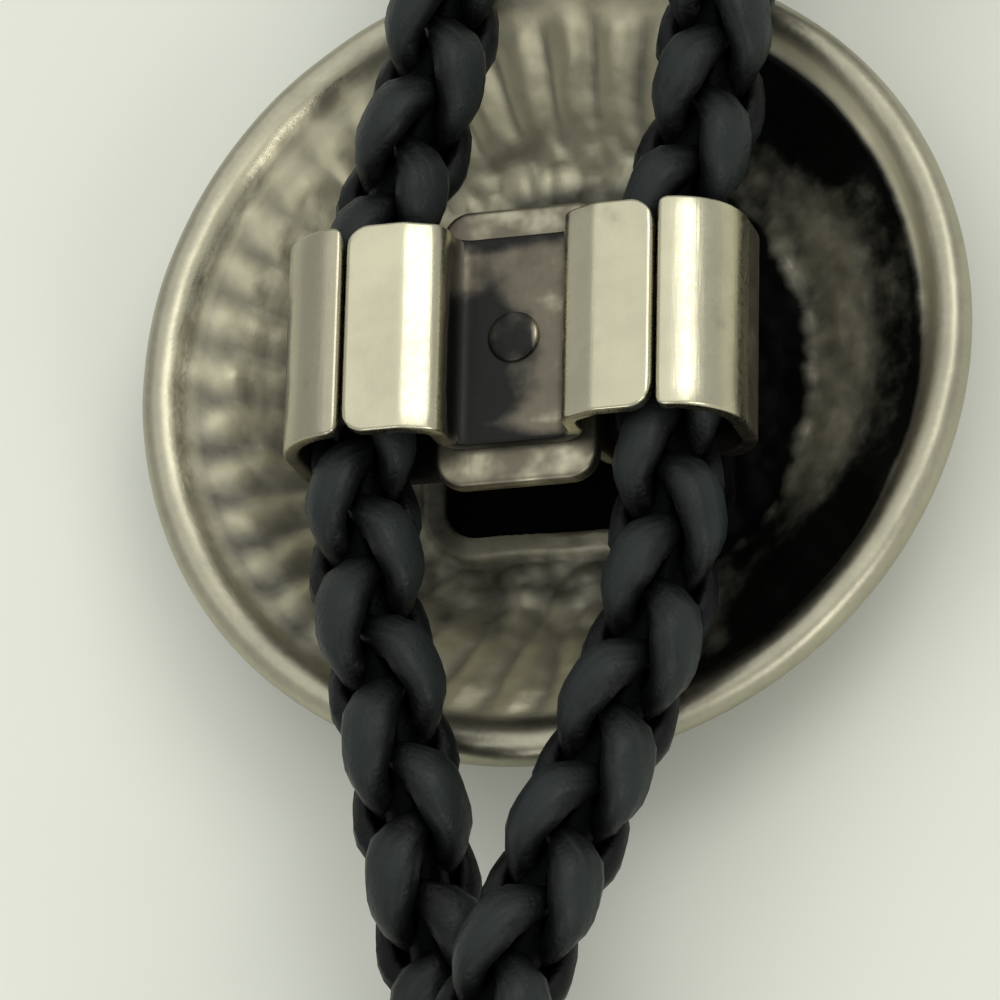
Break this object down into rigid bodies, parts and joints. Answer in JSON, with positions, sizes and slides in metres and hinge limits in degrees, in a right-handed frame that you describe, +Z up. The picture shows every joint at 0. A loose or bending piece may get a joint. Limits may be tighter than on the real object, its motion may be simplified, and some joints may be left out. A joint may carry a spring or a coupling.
{
  "type": "bolo tie",
  "caption": "Bolo tie: round ribbed concho with a hollow back, a riveted two-tube clip of bent sheet, and a braided leather neck cord with metal tips.",
  "frame": {"origin": "middle of the concho's flat front, which lies on the table", "axes": "+Z up, out of the concho's hollow back; +Y along the cords towards the neck loop; +X across the cords"},
  "size_m": [0.1749, 0.4101, 0.0132],
  "materials": {
    "antiqued_silver": "cast white metal with worn antique silver plate, dark patina in the recesses",
    "nickel_sheet": "satin nickel-plated sheet with fine wear",
    "black_leather": "waxed black leather strands with a soft sheen",
    "nickel_tip": "satin nickel, lightly scratched"
  },
  "bodies": {
    "root": {"concho": "antiqued_silver", "cord_clip": "nickel_sheet", "clip_rivet": "nickel_sheet", "braided_cord_left": "black_leather", "braided_cord_right": "black_leather", "cord_tip_left": "nickel_tip", "cord_tip_right": "nickel_tip"}
  },
  "joints": []
}
